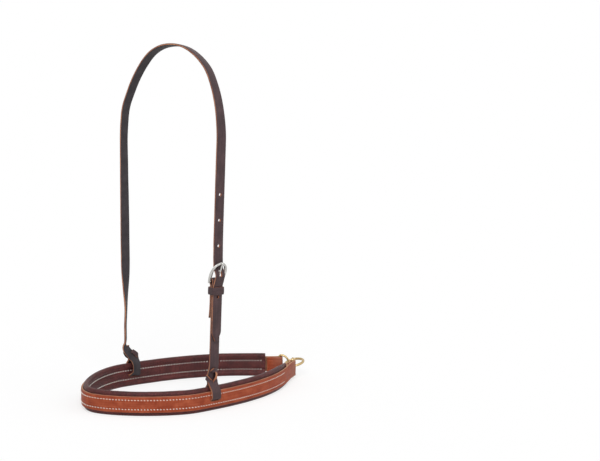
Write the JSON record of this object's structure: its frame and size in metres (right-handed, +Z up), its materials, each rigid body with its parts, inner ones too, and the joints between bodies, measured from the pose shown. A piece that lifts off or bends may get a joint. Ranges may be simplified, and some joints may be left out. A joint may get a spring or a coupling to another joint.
{
  "type": "padded tie-down noseband",
  "caption": "Padded leather noseband with a stitched nose strap over a rolled-edge lining, a crown strap that buckles on the cheek, and a chin ring held by small dees",
  "frame": {"origin": "on the floor under the middle of the nose, in the middle of the lining's thickness", "axes": "+Z up along the standing crown, +X from the nose back to the chin ring, -Y the buckle (near) side"},
  "size_m": [0.3899, 0.2263, 0.5201],
  "materials": {
    "russet_leather": "oiled harness leather, semi-matte",
    "burgundy_leather": "soft chap-weight leather, semi-matte",
    "latigo_leather": "dark latigo with bare tan cut edges",
    "felt": "pressed wool felt",
    "thread": "waxed white harness thread",
    "stainless": "polished stainless steel",
    "brass": "solid brass, lightly dulled"
  },
  "bodies": {
    "noseband": {"nose_strap": "russet_leather", "noseband_lining": "burgundy_leather", "upper_edge_cord": "felt", "lower_edge_cord": "felt", "middle_pad": "felt", "upper_seam_face_thread": "thread", "upper_seam_back_thread": "thread", "lower_seam_face_thread": "thread", "lower_seam_back_thread": "thread"},
    "crown": {"crown_strap": "latigo_leather", "near_hanger": "latigo_leather"},
    "buckle": {"buckle_frame": "stainless"},
    "tongue": {"buckle_tongue": "stainless"},
    "sliding_keeper": {"keeper": "latigo_leather"},
    "near_link": {"near_dee": "brass"},
    "far_link": {"far_dee": "brass"},
    "ring": {"chin_ring": "brass"}
  },
  "joints": [
    {"name": "crown_swing", "type": "hinge", "parent": "noseband", "child": "crown", "pos_m": [0.139, 0.0002, 0.01725], "axis": [-0.0377, 0.9993, 0], "range_deg": [-8, 8]},
    {"name": "buckle_hinge", "type": "hinge", "parent": "crown", "child": "buckle", "pos_m": [0.1492, -0.1, 0.1879], "axis": [0.998, 0.0442, -0.0454], "range_deg": [-1, 2.5]},
    {"name": "tongue_hinge", "type": "hinge", "parent": "buckle", "child": "tongue", "pos_m": [0.1492, -0.1, 0.1879], "axis": [0.998, 0.0442, -0.0454], "range_deg": [0, 2]},
    {"name": "keeper_slide", "type": "slide", "parent": "crown", "child": "sliding_keeper", "axis": [0.0453, 0.002, 0.999], "range_m": [-0.055, 0]},
    {"name": "near_dee_hinge", "type": "hinge", "parent": "noseband", "child": "near_link", "pos_m": [0.3507, -0.0165, 0.01725], "axis": [0, 0, 1], "range_deg": [-20, 3]},
    {"name": "far_dee_hinge", "type": "hinge", "parent": "noseband", "child": "far_link", "pos_m": [0.3507, 0.0165, 0.01725], "axis": [0, 0, 1], "range_deg": [-3, 20]},
    {"name": "ring_swing", "type": "hinge", "parent": "noseband", "child": "ring", "pos_m": [0.3601, 0, 0.0188], "axis": [0, 1, 0], "range_deg": [-28, 52]}
  ]
}
